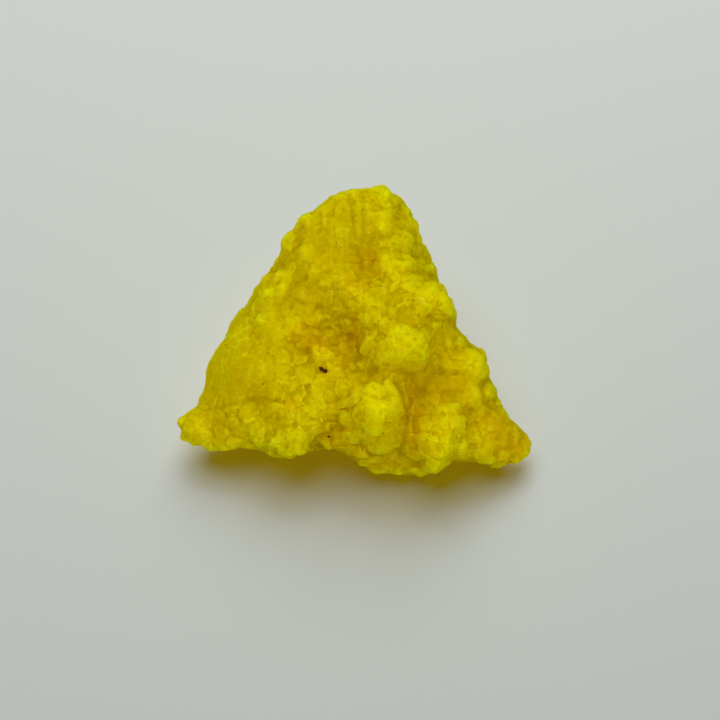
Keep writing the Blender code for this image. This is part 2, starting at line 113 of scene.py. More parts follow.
# Cracks and streaks across the face: their course as across and up, how wide, and how deep and dark.
CREASES = (
    (((-22.3, -12.5), (-18.0, -11.3), (-14.5, -10.6), (-11.0, -11.3)), 0.30, 0.45),
    (((-0.8, 21.4), (-0.3, 17.0), (0.2, 13.0), (0.6, 11.5)), 0.24, 0.7),
    (((-0.2, 20.0), (0.2, 16.6), (0.1, 14.8)), 0.18, 0.6),
    (((1.4, 21.0), (1.2, 17.5), (1.5, 14.5)), 0.20, 0.6),
    (((-3.2, 21.0), (-3.4, 18.0), (-3.0, 14.0)), 0.20, 0.5),
    (((-5.6, 20.0), (-5.4, 16.5), (-5.9, 14.0)), 0.20, 0.4),
    (((3.3, 14.9), (4.5, 14.6), (5.7, 15.0)), 0.70, 0.7),
    (((7.0, -6.6), (9.0, -6.9), (11.0, -6.3)), 0.25, 0.5),
    (((4.6, -6.2), (4.4, -7.8)), 0.30, 0.5),
    (((13.2, -5.9), (13.7, -7.2)), 0.35, 0.9),
    (((-7.8, -3.0), (-6.9, -3.9), (-6.6, -5.0)), 0.40, 0.8),
    (((-0.3, -3.6), (0.2, -5.4), (-0.1, -6.8)), 0.35, 0.9),
    (((6.4, -8.0), (7.6, -11.0), (8.4, -14.0), (7.4, -18.0)), 0.45, 0.8),
    (((9.6, -15.4), (9.2, -13.6)), 0.35, 0.6),
    (((19.2, -14.4), (21.0, -13.0)), 0.40, 0.6),
    (((11.0, 2.3), (12.4, 1.4), (14.4, 1.4)), 0.30, 0.5),
    (((-10.2, 3.0), (-9.3, 4.6), (-7.6, 4.0)), 0.30, 0.5),
    (((-7.4, 8.6), (-7.8, 7.6)), 0.30, 0.6),
    (((-16.9, -15.8), (-16.2, -17.6)), 0.35, 0.4),
    (((-6.9, -16.2), (-7.2, -18.4)), 0.30, 0.5),
    (((-12.2, -13.9), (-10.6, -13.5)), 0.30, 0.4),
    (((0.9, 10.6), (1.0, 9.4)), 0.40, 1.0),
    (((3.6, 7.9), (4.4, 7.3), (4.6, 8.6)), 0.25, 0.7),
)

# Grains of bitumen on the face: across, up, half width, half height, turn in degrees.
DARK_GRAINS = (
    (-5.1, -6.1, 0.60, 0.34, -25),
    (-4.6, -6.35, 0.56, 0.40, -20),
    (-4.1, -16.6, 0.30, 0.22, -30),
    (-14.2, -8.4, 0.16, 0.14, 0),
    (-20.3, -2.3, 0.16, 0.10, 0),
    (-2.9, 13.5, 0.14, 0.10, 0),
    (4.3, -15.9, 0.16, 0.12, 0),
    (11.1, -16.9, 0.14, 0.10, 0),
)
# Painted glints: bright blades on the face where the light catches it, in the same terms.
GLINT_BLADES = (
    (10.3, 4.8, 0.50, 0.26, 10),
    (10.7, 4.1, 0.22, 0.18, 0),
    (9.9, 0.5, 0.22, 0.20, 0),
    (-9.4, -7.3, 0.62, 0.14, 30),
    (-8.0, -8.9, 0.48, 0.12, 70),
    (-6.9, -10.9, 0.30, 0.14, -20),
    (-8.0, -11.4, 0.26, 0.13, 10),
    (-5.2, -13.9, 0.50, 0.14, -60),
    (-6.4, -15.2, 0.36, 0.13, 60),
    (-1.4, -11.3, 0.18, 0.14, 0),
    (16.6, -18.3, 0.34, 0.22, 60),
    (16.0, -16.4, 0.26, 0.13, 20),
    (-12.0, -17.3, 0.80, 0.18, 15),
    (-11.0, -16.4, 0.44, 0.12, 30),
    (-11.5, 13.2, 0.20, 0.16, 0),
)

# Single crystals and lumps of the face: across, up, half width, half height, turn in degrees, how far it
# stands out, and how pale it is.
LUMPS = (
    # front boss and its foot
    (3.6, -12.5, 4.4, 5.0, 0, 0.9, 0.45),
    (2.7, -10.3, 3.2, 2.3, 10, 1.0, 0.85),
    (2.8, -12.1, 2.3, 2.6, 10, 1.2, 1.0),
    (5.6, -9.6, 1.8, 2.2, 40, 0.8, 0.5),
    (2.7, -19.5, 2.2, 1.8, 0, 0.5, 0.2),
    (6.3, -21.4, 2.6, 1.6, 0, 0.4, 0.2),
    (10.2, -21.9, 2.2, 1.2, 0, 0.4, 0.4),
    (-1.6, -18.0, 2.4, 1.3, -10, 0.3, 0.1),
    (0.2, -13.6, 2.6, 3.0, 0, 0.6, 0.3),
    (-3.4, -17.0, 4.0, 2.0, -8, 3.8, 0.1),
    (0.2, -18.4, 2.9, 1.7, -25, 2.9, 0.1),
    (-0.4, -16.3, 1.9, 1.7, 0, 0.6, 0.2),
    (-2.8, -15.2, 2.0, 1.8, 0, 0.6, 0.1),
    # middle boss
    (7.8, -2.3, 4.0, 2.9, -8, 0.9, 0.8),
    (6.8, -1.0, 2.4, 1.8, 20, 1.0, 1.0),
    (10.0, -3.2, 1.7, 2.0, 0, 1.0, 0.9),
    (2.8, -2.4, 2.4, 2.5, 20, 0.8, 0.75),
    (1.1, -5.8, 1.0, 1.0, 0, 0.5, 0.9),
    # right front bosses
    (14.4, -12.8, 2.7, 2.4, 15, 0.9, 0.6),
    (13.0, -17.5, 3.2, 3.0, 0, 1.0, 0.3),
    (12.5, -20.3, 1.8, 2.2, -25, 0.7, 0.9),
    (16.4, -18.0, 1.2, 1.2, 0, 0.8, 1.0),
    (18.8, -17.2, 2.0, 2.2, 0, 0.5, 0.4),
    # tail
    (24.5, -17.2, 2.6, 2.6, 0, 0.4, 0.0),
    (22.7, -19.2, 1.7, 1.5, 0, 0.4, 0.5),
    (25.0, -19.7, 1.5, 1.6, 0, 0.2, 0.3),
    # right slope
    (18.8, -5.8, 2.4, 2.6, 0, 0.6, 0.45),
    (15.9, -2.3, 1.7, 1.7, 0, 0.4, 0.3),
    (20.2, -9.8, 2.0, 2.2, 0, 0.4, 0.2),
    (22.2, -11.6, 1.3, 1.3, 0, 0.4, 0.2),
    # shoulder boss and the lumps over it
    (13.0, 4.1, 3.1, 2.1, -35, 1.0, 0.75),
    (11.9, 0.8, 1.6, 1.4, 0, 0.4, 0.5),
    (7.0, 9.7, 2.4, 1.7, 0, 0.7, 0.4),
    (9.1, 7.3, 1.9, 1.6, 0, 0.6, 0.7),
    (11.8, 9.7, 0.9, 0.9, 0, 0.4, 0.9),
    (4.4, 6.7, 1.7, 1.4, 0, 0.4, 0.4),
    (6.7, 3.4, 1.9, 1.7, 0, 0.5, 0.4),
    # upper lumps
    (0.3, 4.4, 1.9, 2.1, 0, 0.7, 0.5),
    (-0.6, 0.9, 2.0, 1.8, 0, 0.8, 0.5),
    (1.9, 1.9, 1.9, 1.6, 0, 0.5, 0.5),
    (-1.9, 6.6, 0.9, 0.8, 0, 0.4, 0.6),
    (-4.5, 7.0, 1.3, 1.0, 0, 0.5, 0.5),
    (-6.3, 9.1, 1.1, 1.0, 0, 0.5, 0.5),
    (-8.6, 3.1, 1.6, 1.3, 0, 0.3, 0.2),
    (-5.8, 1.9, 1.2, 1.1, 0, 0.3, 0.2),
    (-10.2, 0.0, 1.4, 1.2, 0, 0.3, 0.2),
    # small crystals in the hollow
    (-4.8, -4.2, 1.8, 1.6, 0, 0.7, 0.5),
    (-2.8, -6.2, 1.1, 1.0, 0, 0.6, 0.45),
    (-2.3, -2.5, 1.1, 1.0, 0, 0.3, 0.3),
    (-1.6, -9.0, 1.3, 1.1, 0, 0.4, 0.4),
    # left front boss
    (-5.8, -11.2, 2.6, 2.5, 0, 0.7, 0.4),
    (-8.6, -10.9, 1.5, 1.3, 0, 0.4, 0.2),
    (-8.9, -15.3, 2.3, 1.7, 25, 0.7, 0.6),
    (-13.6, -16.6, 2.6, 2.2, 0, 0.8, 0.6),
    (-12.0, -17.3, 1.5, 1.0, 15, 0.9, 1.0),
    (-9.8, -18.3, 2.6, 1.8, 0, 0.6, 0.4),
    (-15.2, -15.0, 1.5, 1.6, 0, 0.5, 0.7),
    (-4.7, -14.8, 1.3, 1.3, 0, 0.3, 0.2),
    # left tip and left flank
    (-23.4, -17.2, 1.9, 1.6, 0, 0.4, 0.3),
    (-25.2, -16.9, 1.3, 1.5, 0, 0.2, 0.3),
    (-20.3, -18.0, 1.6, 1.2, 0, 0.4, 0.2),
    (-18.0, -16.4, 1.5, 1.4, 0, 0.3, 0.1),
    (-21.9, -2.3, 1.4, 1.6, 0, 0.3, 0.4),
    # left shoulder
    (-10.5, 12.9, 0.9, 0.8, 0, 0.25, 0.8),
    (-13.3, 5.6, 1.5, 1.1, 0, 0.5, 0.9),
    (-11.3, 6.7, 1.0, 0.9, 0, 0.4, 0.9),
    (-14.1, 1.3, 1.8, 1.6, 0, 0.4, 0.5),
    (-7.7, 17.2, 1.6, 1.3, 0, 0.3, 0.3),
    # top
    (4.8, 20.9, 1.2, 1.7, 0, 0.7, 1.0),
    (3.3, 21.9, 1.2, 1.3, 0, 0.4, 0.6),
    (4.0, 16.3, 1.0, 0.8, 0, 0.5, 1.0),
    (7.8, 18.0, 1.5, 2.2, 0, 0.3, 0.2),
    (5.9, 20.3, 1.3, 1.4, 0, 0.2, 0.2),
    (9.8, 14.1, 1.3, 1.6, 0, 0.3, 0.2),
)

# How much of its crust a smooth ground loses, how much of its facets, and a worn ground's share of that.
CRUST_LOSS = 0.88
FACET_LOSS = 0.65
WORN_SHARE = 0.8
# The crust starts at this height and is full after the fade, in millimetres, so that the foot stays flat.
FOOT_HEIGHT = 0.6
FOOT_FADE = 1.0
# The low facets: how much they tilt, swell and step up for their width, and the widths of the two layers.
FACETS = {"Slope": 0.18, "Dome": 0.06, "Step": 0.08}
FACET_SHARES = (1.0, 0.45)
# Faces that meet at more than this many degrees keep a sharp edge.
SHARP_ANGLE = 32

# The finish: the widths of its marks, and the share of gloss.
CLOUD_WIDTH = 4.2 * MM
FINE_SHARE = 0.16
CRYSTAL_WIDTHS = (2.3 * MM, 0.95 * MM)
GLINT_WIDTH = 0.7 * MM
STREAK_WIDTH = 0.75 * MM
RIDGE_WIDTH = 1.1 * MM
GLOSS_SHARE = 0.05
# Tints, laid in this order: the mark each follows, from where to where, its shares there, its colour.
BROAD_TINTS = (
    ("pale", 0.1, 0.9, 0.0, 1.0, "pale"),
    ("Cloud", 0.35, 0.65, 0.0, 0.35, "pale"),
    ("pale", 0.80, 1.0, 0.0, 0.8, "bright"),
    # Painted shade: orange where the surface is shut in by what stands around it.
    ("hollow", 0.30, 0.85, 0.0, 0.85, "hollow"),
    # Painted highlight: paler where the surface stands out of its broad form.
    ("raised", -0.1, 0.8, 0.0, 0.55, "pale"),
    # Painted shade: orange where the surface sinks below its broad form.
    ("raised", 0.0, -0.8, 0.0, 0.5, "hollow"),
)
CRYSTAL_TINTS = (("Tone", 0.45, 0.85, 0.0, 0.25, "pale"), ("Tone", 0.45, 0.10, 0.0, 0.14, "hollow"))
SEAM_TINTS = (("Tone", 0.5, 0.8, 0.0, 0.30, "seam"), ("Tone", 0.5, 0.2, 0.0, 0.17, "gap"))
STAIN_TINTS = (("Fine", 0.3, 0.7, 0.5, 0.9, "rust"),)
STREAK_TINTS = (("Streaks", 0.40, 0.62, 0.05, 0.32, "streak"),)
LINE_TINTS = (
    # Painted shade in the small creases.
    ("edge", -0.015, -0.09, 0.0, 0.24, "crease_shade"),
    ("cracked", 0.0, 1.0, 0.0, 0.38, "crack"),
    # Painted highlight on the edges that stand out.
    ("edge", 0.02, 0.12, 0.0, 0.22, "edge"),
)
FINE_MOTTLE = (0.3, 0.7, 0.86, 1.10)

# Soft lamps: place, width, power in watts, and what they light.
LAMPS = {
    "window": ((-0.12, 0.24, 0.26), 0.45, 0.56, "sulfur"),
    "ceiling": ((0.00, 0.08, 0.45), 0.60, 0.60, "sulfur"),
    "fill": ((0.05, -0.26, 0.36), 0.45, 1.51, "sulfur"),
    "back": ((0.06, 0.44, 0.48), 0.50, 2.25, "table"),
    "overhead": ((-0.10, 0.13, 0.68), 0.60, 2.1, "table"),
}
LAMP_COLOUR = (0.98, 1.0, 0.98)
WORLD_COLOUR = (0.95, 1.0, 1.0, 1)
WORLD_STRENGTH = 0.006
TABLE_WIDTH = 4.0
# The camera looks straight at the face, at this place across and up. Millimetres.
CAMERA_AIM = (0.78, -4.69)
CAMERA_DISTANCE = 340.0
FRAME_WIDTH = 112.5


def to_face(points):
    """Positions in metres as across, up and out in millimetres."""
    turn = np.array(FACE_TURN)
    return (np.asarray(points) / MM - np.array(FACE_ORIGIN)) @ turn


def from_face(across, up, out):
    """A place on the face as a position in metres."""
    return (FACE_TURN @ Vector((across, up, out)) + Vector(FACE_ORIGIN)) * MM


def facing_share(face):
    """How much each point belongs to the face, from 0 to 1."""
    return np.clip((face[:, 2] - FACE_BACK) / FACE_FADE, 0.0, 1.0)


def within(face, grounds):
    """How much each point belongs to any of these regions, from 0 to 1."""
    share = np.zeros(len(face))
    for across, up, radius_across, radius_up, *amount in grounds:
        apart = ((face[:, 0] - across) / radius_across) ** 2 + ((face[:, 1] - up) / radius_up) ** 2
        share = np.maximum(share, np.exp(-(apart**1.5)) * (amount[0] if amount else 1.0))
    return share * facing_share(face)


def length(label, description, millimetres):
    """A length as a property."""
    return bpy.props.FloatProperty(
        name=label, description=description, default=millimetres * MM, unit="LENGTH", precision=6
    )


def tint(label, description, red, green, blue):
    """A colour as a property."""
    return bpy.props.FloatVectorProperty(
        name=label, description=description, subtype="COLOR", size=4, default=(red, green, blue, 1)
    )


class SulfurSizes(bpy.types.PropertyGroup):
    """Sizes of the grown crust."""

    soft_voxel: length("Soft voxel", "Voxel of the softened mass", 0.32)
    fine_voxel: length("Fine voxel", "Voxel of the finished crust", 0.19)
    swollen: length("Swollen", "How far the mass is swollen to close its narrow gaps", 0.9)
    shrunk: length("Shrunk", "How far it is shrunk again", 0.75)
    swell_height: length("Swell height", "Height of the broad, uneven swells", 0.26)
    swell_width: length("Swell width", "Width of the broad, uneven swells", 3.0)
    spacing: length("Spacing", "Least distance between the small crystals of the crust", 2.1)
    least: length("Least crystal", "Half width of the least small crystal", 0.6)
    most: length("Greatest crystal", "Half width of the greatest small crystal", 1.7)
    facet: length("Facet", "Width of the facets broken into the crust", 2.1)
    ridge: length("Ridge", "Height of the fine ridges up the streaked ground", 0.11)
    sunk: bpy.props.FloatProperty(
        name="Sunk", description="How much of a small crystal is sunk in", default=0.88, subtype="FACTOR"
    )
    seed: bpy.props.IntProperty(name="Seed", description="Seed of everything scattered", default=5)
    triangles: bpy.props.IntProperty(
        name="Triangles", description="Triangles kept in the crust", default=125000, min=1000
    )


class SulfurColours(bpy.types.PropertyGroup):
    """Colours of the finish."""

    body: tint("Body", "Sulfur in the open", 0.61, 0.435, 0.0)
    # Clean crystals, and the painted highlight on what stands out.
    pale: tint("Pale", "Clean crystals", 0.72, 0.61, 0.0)
    bright: tint("Bright", "The palest crystals", 0.88, 0.82, 0.0)
    # The orange of the painted shade in the hollows, and the tone of darker small crystals.
    hollow: tint("Hollow", "Painted orange shade in the hollows, and darker small crystals", 0.66, 0.375, 0.0)
    # Browner stain, and the painted shade of the hollows, cleft and arch.
    rust: tint("Rust", "Stained, browner sulfur", 0.61, 0.30, 0.0)
    seam: tint("Seam", "Light rims of the small crystals", 0.85, 0.78, 0.02)
    gap: tint("Gap", "Dark gaps between the small crystals", 0.34, 0.22, 0.0)
    streak: tint("Streak", "Dark streaks of the streaked ground", 0.38, 0.26, 0.0)
    # Painted shade in the small creases.
    crease_shade: tint("Crease", "Creases of the surface", 0.30, 0.20, 0.0)
    crack: tint("Crack", "Cracks across the face", 0.26, 0.15, 0.0)
    # The painted highlight on edges that stand out.
    edge: tint("Edge", "Edges that stand out", 0.80, 0.75, 0.01)
    gloss: tint("Gloss", "The waxy gloss", 1.0, 0.93, 0.0)
    shade: tint("Shade", "Light that comes through into the shadow", 0.52, 0.42, 0.0)
    # The colour of the painted glints.
    blade: tint("Blade", "Painted glints", 0.84, 0.73, 0.015)
    grain: tint("Dark grain", "Grains of bitumen", 0.080, 0.030, 0.006)
    table: tint("Table", "The pale table", 0.80, 0.83, 0.79)


def settle(obj):
    """Applies an object's modifiers to its mesh."""
    graph = bpy.context.evaluated_depsgraph_get()
    finished = bpy.data.meshes.new_from_object(obj.evaluated_get(graph))
    obj.modifiers.clear()
    stale, obj.data = obj.data, finished
    bpy.data.meshes.remove(stale)


def points_of(mesh, what="co"):
    """A mesh's vertex positions or normals as rows."""
    values = np.empty(len(mesh.vertices) * 3, np.float32)
    if what == "co":
        mesh.vertices.foreach_get("co", values)
    else:
        mesh.vertex_normals.foreach_get("vector", values)
    return values.reshape(-1, 3).astype(np.float64)


def mark(mesh, name, values):
    """Stores one number a vertex under a name."""
    attribute = mesh.attributes.get(name) or mesh.attributes.new(name, "FLOAT", "POINT")
    attribute.data.foreach_set("value", np.asarray(values, np.float32))


def new_tree(name, kind, inputs, outputs):
    """An empty tree of nodes with named inputs and outputs, and the nodes that hold them."""
    tree = bpy.data.node_groups.new(name, kind)
    for in_out, sockets in (("OUTPUT", outputs), ("INPUT", inputs)):
        for label, socket_type in sockets:
            tree.interface.new_socket(label, in_out=in_out, socket_type=socket_type)
    return tree, tree.nodes.new("NodeGroupInput").outputs, tree.nodes.new("NodeGroupOutput").inputs


def geometry_tree(name, inputs):
    """An empty tree of Geometry Nodes with a mesh in, a mesh out and named inputs."""
    mesh = ("Geometry", "NodeSocketGeometry")
    return new_tree(name, "GeometryNodeTree", (mesh, *inputs), (mesh,))


def set_tree(obj, tree, values):
    """Puts a tree on an object, with its inputs set by name."""
    modifier = obj.modifiers.new(tree.name, "NODES")
    modifier.node_group = tree
    for item in tree.interface.items_tree:
        if item.item_type == "SOCKET" and item.in_out == "INPUT" and item.name in values:
            modifier[item.identifier] = values[item.name]


def feed(tree, socket, value):
    """Links an output to an input, or sets the input's value."""
    if isinstance(value, bpy.types.NodeSocket):
        tree.links.new(value, socket)
    else:
        socket.default_value = value


def add(tree, kind, inputs, **settings):
    """A node with its settings, and its inputs linked or set by name or number. Gives its outputs."""
    node = tree.nodes.new(kind)
    for name, value in settings.items():
        setattr(node, name, value)
    for name, value in inputs.items():
        feed(tree, node.inputs[name], value)
    return node.outputs


def maths(tree, operation, *values):
    """A Math node with each input linked or set."""
    return add(tree, "ShaderNodeMath", dict(enumerate(values)), operation=operation)[0]


def vector_maths(tree, operation, *values):
    """A Vector Math node with each input linked or set."""
    places = (0, 3) if operation == "SCALE" else range(len(values))
    made = add(tree, "ShaderNodeVectorMath", dict(zip(places, values)), operation=operation)
    return made["Value" if operation == "DOT_PRODUCT" else "Vector"]


def ramped(tree, value, low, high, to_low=0.0, to_high=1.0):
    """A number carried from one range to another, held at its ends."""
    return add(tree, "ShaderNodeMapRange", dict(enumerate((value, low, high, to_low, to_high))))[0]


def noise(tree, place, scale, detail, roughness=0.5):
    """A noise at a position."""
    inputs = {"Vector": place, "Scale": scale, "Detail": detail, "Roughness": roughness}
    return add(tree, "ShaderNodeTexNoise", inputs)


def drawn_out(tree, place, stretch):
    """A position in the face's own frame, drawn out along it."""
    angle = -math.radians(FACE_LEAN)
    turned = add(tree, "ShaderNodeVectorRotate", {"Vector": place, "Angle": angle}, rotation_type="X_AXIS")
    return vector_maths(tree, "MULTIPLY", turned[0], stretch)


def cell_slope(tree, place, cells):
    """A height that tilts each cell its own way."""
    lean = vector_maths(tree, "SUBTRACT", cells["Color"], (0.5, 0.5, 0.5))
    away = vector_maths(tree, "SUBTRACT", place, cells["Position"])
    return vector_maths(tree, "DOT_PRODUCT", away, lean)


def stored(tree, name):
    """The number stored on a mesh under a name, for Geometry Nodes."""
    return add(tree, "GeometryNodeInputNamedAttribute", {"Name": name})["Attribute"]


def raise_surface(tree, given, made, height):
    """Ends a tree by moving the surface out along its normals."""
    normal = add(tree, "GeometryNodeInputNormal", {})[0]
    offset = vector_maths(tree, "SCALE", normal, height)
    inputs = {"Geometry": given["Geometry"], "Offset": offset}
    tree.links.new(add(tree, "GeometryNodeSetPosition", inputs)[0], made[0])


def mesh_of(bm, name):
    """A finished mesh."""
    mesh = bpy.data.meshes.new(name)
    bm.to_mesh(mesh)
    bm.free()
    return mesh


def spiral_angle(step):
    """The angle of a step on an even spiral."""
    return step * math.pi * (3 - math.sqrt(5))


def spiral(corners):
    """Corners spread evenly over a ball: for each its number, its level, its distance out and its angle."""
    for step in range(corners):
        level = 1 - 2 * (step + 0.5) / corners
        yield step, level, math.sqrt(1 - level * level), spiral_angle(step)


def crystal_mesh(corners=16, sway=0.4, width=0.9, height=1.05):
    """One blunt crystal with flat faces all round, a unit from its middle to its corners."""
    bm = bmesh.new()
    for step, level, ring, angle in spiral(corners):
        angle += sway * math.sin(5 * step)
        bm.verts.new((width * ring * math.cos(angle), ring * math.sin(angle), height * level))
    bmesh.ops.convex_hull(bm, input=bm.verts)
    return mesh_of(bm, "small crystal")


def swell_tree(detail=3.0, roughness=0.6, most=1.35):
    """Pushes the surface in and out with broad, uneven swells, less where it is smooth."""
    tree, given, made = geometry_tree("swell", [(name, "NodeSocketFloat") for name in ("Height", "Width")])
    position = add(tree, "GeometryNodeInputPosition", {})[0]
    swells = noise(tree, position, maths(tree, "DIVIDE", 1.0, given["Width"]), detail, roughness)
    height = maths(tree, "MULTIPLY", maths(tree, "SUBTRACT", swells["Fac"], 0.5), given["Height"])
    height = maths(tree, "MULTIPLY", height, maths(tree, "SUBTRACT", most, stored(tree, "smooth")))
    raise_surface(tree, given, made, height)
    return tree


def crust_tree(density=3.0e6, tilt=0.9, least=(0.75, 0.75, 0.7), most=(1.15, 1.15, 1.3)):
    """Grows small crystals all over a surface, sunk part of the way into it, and joins them to it."""
    tree, given, made = geometry_tree(
        "crust",
        (
            ("Crystal", "NodeSocketObject"),
            ("Spacing", "NodeSocketFloat"),
            ("Least size", "NodeSocketFloat"),
            ("Most size", "NodeSocketFloat"),
            ("Sunk", "NodeSocketFloat"),
            ("Seed", "NodeSocketInt"),
            ("Material", "NodeSocketMaterial"),
        ),
    )
    seed = given["Seed"]
    places = {
        "Mesh": given["Geometry"],
        "Distance Min": given["Spacing"],
        "Density Max": density,
        "Density Factor": stored(tree, "crusted"),
        "Seed": seed,
    }
    scatter = add(tree, "GeometryNodeDistributePointsOnFaces", places, distribute_method="POISSON")

    random = "FunctionNodeRandomValue"
    angles = {"Min": (-tilt, -tilt, -math.pi), "Max": (tilt, tilt, math.pi), "Seed": seed}
    leaning = add(tree, random, angles, data_type="FLOAT_VECTOR")[0]
    rotations = {0: scatter["Rotation"], 1: leaning}
    turn = add(tree, "FunctionNodeRotateRotation", rotations, rotation_space="LOCAL")[0]
    sizes = {2: given["Least size"], 3: given["Most size"], "Seed": seed}
    size = add(tree, random, sizes, data_type="FLOAT")[1]
    stretches = {"Min": least, "Max": most, "Seed": maths(tree, "ADD", seed, 7.0)}
    stretch = add(tree, random, stretches, data_type="FLOAT_VECTOR")[0]

    depth = maths(tree, "MULTIPLY", maths(tree, "MULTIPLY", given["Sunk"], -1.0), size)
    offset = vector_maths(tree, "SCALE", scatter["Normal"], depth)
    sink = add(tree, "GeometryNodeSetPosition", {"Geometry": scatter["Points"], "Offset": offset})[0]
    crystals = {
        "Points": sink,
        "Instance": add(tree, "GeometryNodeObjectInfo", {"Object": given["Crystal"]})["Geometry"],
        "Rotation": turn,
        "Scale": vector_maths(tree, "SCALE", stretch, size),
    }
    join = tree.nodes.new("GeometryNodeJoinGeometry")
    tree.links.new(add(tree, "GeometryNodeInstanceOnPoints", crystals)[0], join.inputs[0])
    tree.links.new(given["Geometry"], join.inputs[0])
    whole = add(tree, "GeometryNodeRealizeInstances", {0: join.outputs[0]})[0]
    finish = add(tree, "GeometryNodeSetMaterial", {"Geometry": whole, "Material": given["Material"]})[0]
    tree.links.new(finish, made[0])
    return tree


def facet_tree(dome_height=0.22, stretch=(1.0, 0.09, 0.5)):
    """Breaks a surface into tilted facets, and draws fine ridges up the streaked ground."""
    names = ("Facet", "Slope", "Dome", "Step", "Ridge")
    tree, given, made = geometry_tree("facets", [(name, "NodeSocketFloat") for name in names])
    position = add(tree, "GeometryNodeInputPosition", {})[0]
    height = None
    for share in FACET_SHARES:
        width = maths(tree, "MULTIPLY", given["Facet"], share)
        density = maths(tree, "DIVIDE", 1.0, width)
        cells = add(tree, "ShaderNodeTexVoronoi", {"Vector": position, "Scale": density})
        slope = maths(tree, "MULTIPLY", cell_slope(tree, position, cells), given["Slope"])
        tall = maths(tree, "FRACT", maths(tree, "MULTIPLY", cells["Color"], 5.3))
        dome = maths(tree, "SUBTRACT", dome_height, maths(tree, "POWER", cells["Distance"], 2.0))
        dome = maths(tree, "MULTIPLY", maths(tree, "MULTIPLY", dome, tall), width)
        slope = maths(tree, "ADD", slope, maths(tree, "MULTIPLY", dome, given["Dome"]))
        level = maths(tree, "MULTIPLY", maths(tree, "SUBTRACT", tall, 0.5), width)
        slope = maths(tree, "ADD", slope, maths(tree, "MULTIPLY", level, given["Step"]))
        height = slope if height is None else maths(tree, "ADD", height, slope)
    height = maths(tree, "MULTIPLY", height, stored(tree, "rough"))

    drawn = drawn_out(tree, position, stretch)
    ridge = maths(tree, "SUBTRACT", noise(tree, drawn, 1 / RIDGE_WIDTH, 3.0)["Fac"], 0.5)
    ridge = maths(tree, "MULTIPLY", ridge, given["Ridge"])
    ridge = maths(tree, "MULTIPLY", ridge, stored(tree, "streaked"))
    raise_surface(tree, given, made, maths(tree, "ADD", height, ridge))
    return tree


def remesh(obj, voxel):
    """Adds a voxel remesh."""
    modifier = obj.modifiers.new("remesh", "REMESH")
    modifier.mode = "VOXEL"
    modifier.voxel_size = voxel


def shift_out(obj, distance):
    """Moves a surface out along its normals, or in."""
    modifier = obj.modifiers.new("shift", "DISPLACE")
    modifier.strength = distance
    modifier.mid_level = 0.0


def relax(obj, turns, factor=0.5):
    """Adds a gentle smoothing."""
    modifier = obj.modifiers.new("relax", "SMOOTH")
    modifier.iterations = turns
    modifier.factor = factor


def mark_grounds(mesh):
    """Stores how smooth, streaked, rough and crusted each point is."""
    face = to_face(points_of(mesh))
    smooth = within(face, SMOOTH_GROUNDS)
    worn = np.maximum(smooth, WORN_SHARE * within(face, WORN_GROUNDS))
    foot = np.clip((points_of(mesh)[:, 2] / MM - FOOT_HEIGHT) / FOOT_FADE, 0.0, 1.0)
    mark(mesh, "smooth", smooth)
    mark(mesh, "streaked", within(face, STREAKED_GROUNDS))
    mark(mesh, "rough", 1.0 - FACET_LOSS * worn)
    mark(mesh, "crusted", (1.0 - CRUST_LOSS * smooth) * foot)


def surface_of(mesh):
    """A mesh's surface, ready for rays to be cast at it."""
    bm = bmesh.new()
    bm.from_mesh(mesh)
    tree = BVHTree.FromBMesh(bm)
    bm.free()
    return tree


# The shut-in share is the mask of the painted orange shade in the hollows.
def mark_hollows(mesh, reach=4.5, rays=20, clearance=0.04):
    """Stores how shut in each point is by what stands within reach of it, in millimetres."""
    tree = surface_of(mesh)
    directions = []
    for step in range(rays):
        lift = math.sqrt((step + 0.5) / rays)
        angle = spiral_angle(step)
        level = math.sqrt(1 - lift * lift)
        directions.append(Vector((level * math.cos(angle), level * math.sin(angle), lift)))
    shut = np.empty(len(mesh.vertices))
    for index, (point, normal) in enumerate(zip(points_of(mesh), points_of(mesh, "normal"))):
        start, upright = Vector(point), Vector(normal)
        turn = upright.to_track_quat("Z", "Y").to_matrix()
        start += upright * clearance * MM
        met = sum(tree.ray_cast(start, turn @ way, reach * MM)[0] is not None for way in directions)
        shut[index] = met / rays
    mark(mesh, "hollow", shut)


def spread(mesh, rows, turns):
    """Rows of numbers, one a vertex, smoothed this many times among neighbours."""
    ends = np.empty(len(mesh.edges) * 2, np.int32)
    mesh.edges.foreach_get("vertices", ends)
    first, second = ends[0::2], ends[1::2]
    count = len(mesh.vertices)
    shares = np.maximum(np.bincount(first, minlength=count) + np.bincount(second, minlength=count), 1)
    for _ in range(turns):
        moved = np.empty_like(rows)
        for axis in range(rows.shape[1]):
            column = rows[:, axis]
            total = np.bincount(first, column[second], count) + np.bincount(second, column[first], count)
            moved[:, axis] = total / shares
        rows = moved
    return rows


# What stands out of the broad form sets painted highlight and shade, what stands out of its neighbours the
# painted edges and creases.
def mark_relief(mesh):
    """Stores how far each point stands out of the broad form, and out of what is next to it."""
    points, normals = points_of(mesh), points_of(mesh, "normal")
    for name, turns in (("raised", 90), ("edge", 5)):
        apart = ((points - spread(mesh, points, turns)) * normals).sum(axis=1) / MM
        mark(mesh, name, apart)


def mark_colours(mesh):
    """Stores where the sulfur is browner from stain and painted shade, and where it is pale, cracked and
    streaked.
    """
    face = to_face(points_of(mesh))
    mark(mesh, "rusty", within(face, STAINED_AND_SHADED_GROUNDS))
    mark(mesh, "pale", lump_paleness(mesh))
    mark(mesh, "cracked", crease_share(mesh))
    mark(mesh, "streaked", within(face, STREAKED_GROUNDS))


def shader_group(name, given, made):
    """An empty shader group with a number in and numbers out."""
    inputs = [(given, "NodeSocketFloat")]
    return new_tree(name, "ShaderNodeTree", inputs, [(label, "NodeSocketFloat") for label in made])


